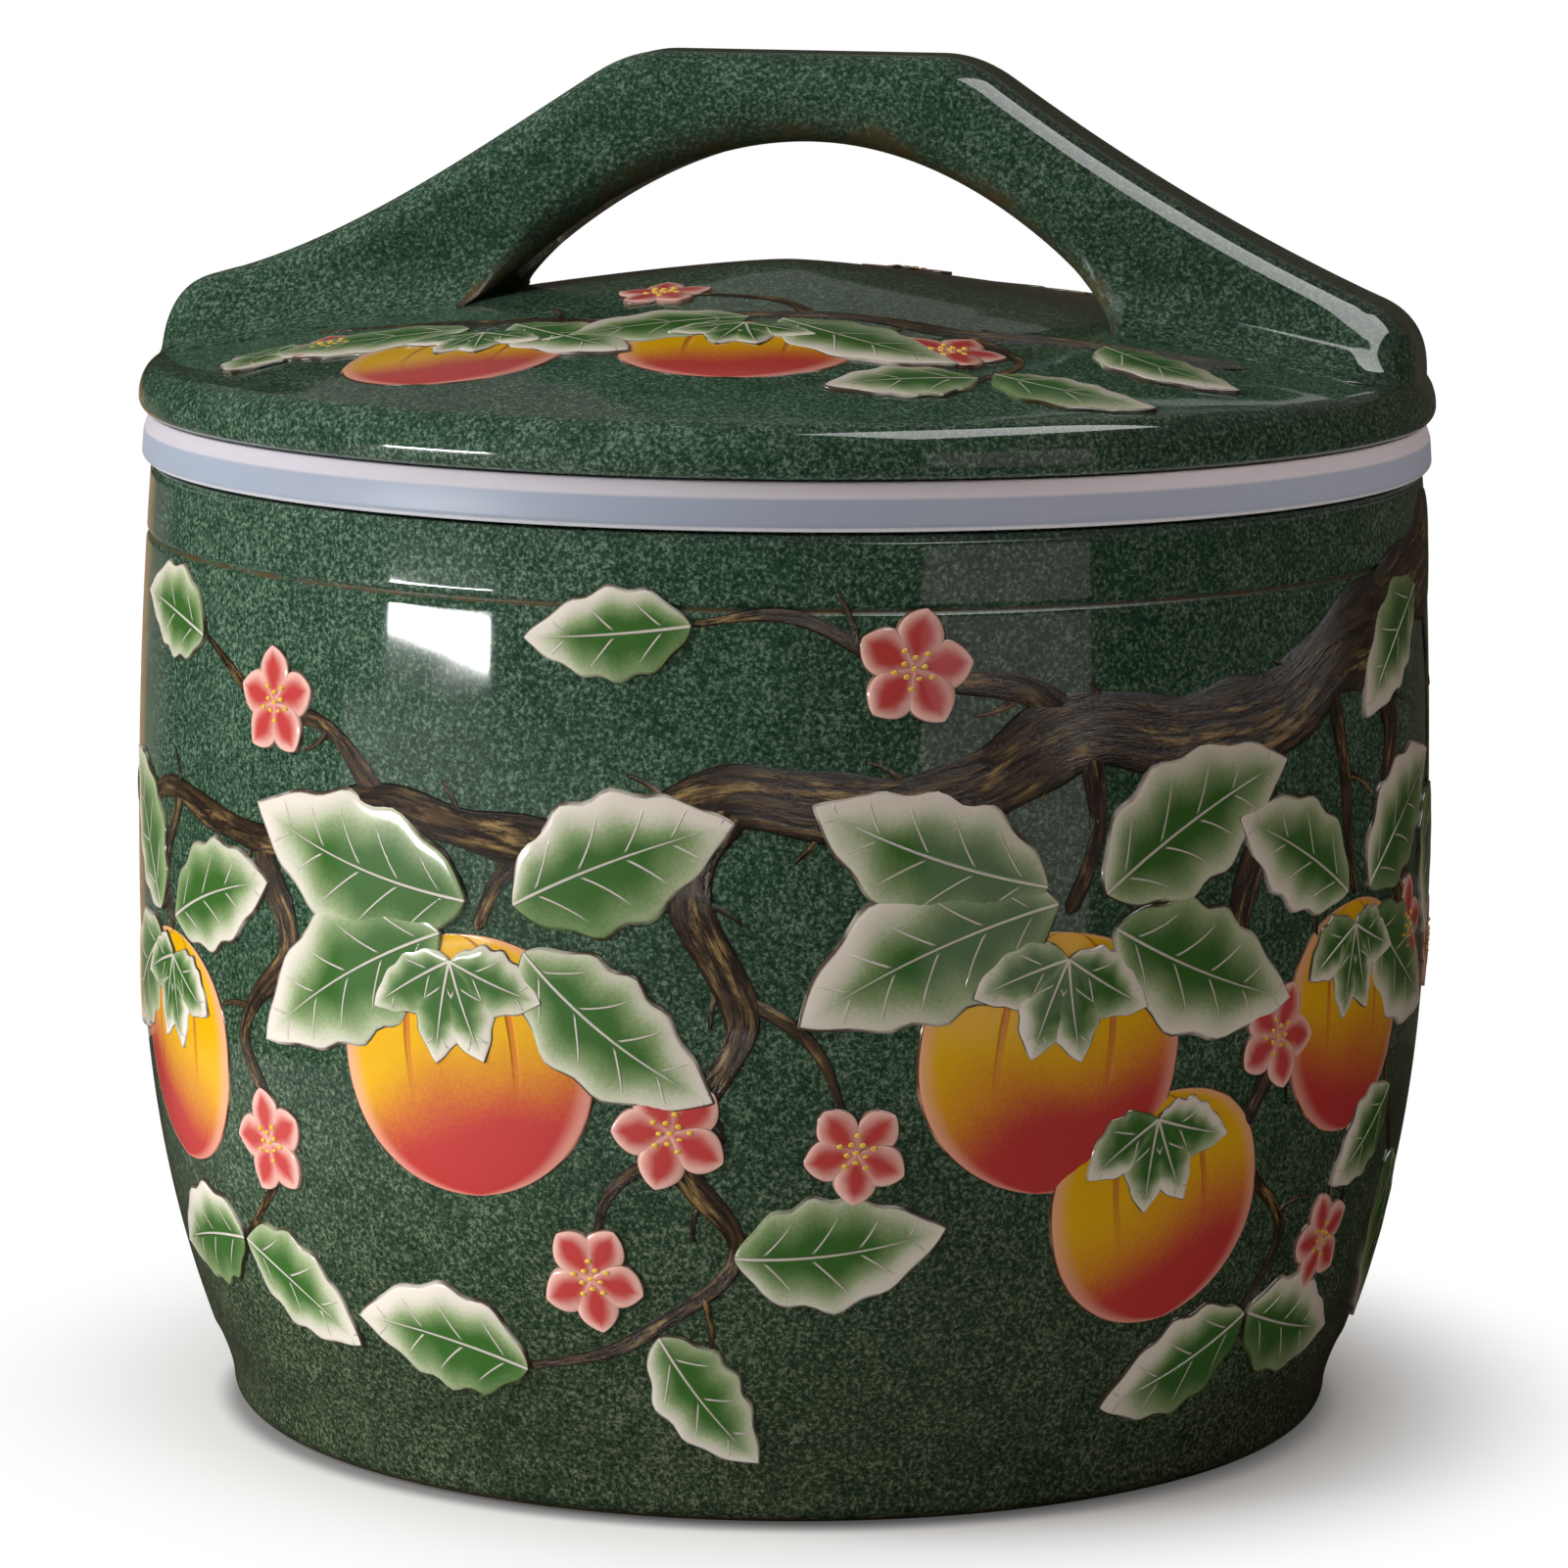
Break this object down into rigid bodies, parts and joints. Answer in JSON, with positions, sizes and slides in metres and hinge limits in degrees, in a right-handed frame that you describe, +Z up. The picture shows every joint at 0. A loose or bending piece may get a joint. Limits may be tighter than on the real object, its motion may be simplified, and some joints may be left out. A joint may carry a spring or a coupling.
{
  "type": "lidded rice canister",
  "caption": "Round glazed ceramic food canister with a domed lid, a bridge handle across the lid and a soft sealing ring.",
  "frame": {"origin": "centre of the foot ring, on the surface that the canister stands on", "axes": "+Z up along the canister's axis, X along the lid's handle"},
  "size_m": [0.2392, 0.2392, 0.2505],
  "materials": {
    "jar_glaze": "glossy speckled dark green glaze",
    "seal_silicone": "satin translucent white silicone",
    "lid_glaze": "glossy speckled dark green glaze",
    "handle_glaze": "glossy speckled dark green glaze"
  },
  "bodies": {
    "jar": {"jar_body": "jar_glaze"},
    "seal": {"seal_ring": "seal_silicone"},
    "lid": {"lid_shell": "lid_glaze", "lid_handle": "handle_glaze"}
  },
  "joints": [
    {"name": "lid_lift", "type": "slide", "parent": "jar", "child": "seal", "axis": [0, 0, 1], "range_m": [0, 0.15]},
    {"name": "seal_strip", "type": "slide", "parent": "seal", "child": "lid", "axis": [0, 0, 1], "range_m": [0, 0.06]}
  ]
}
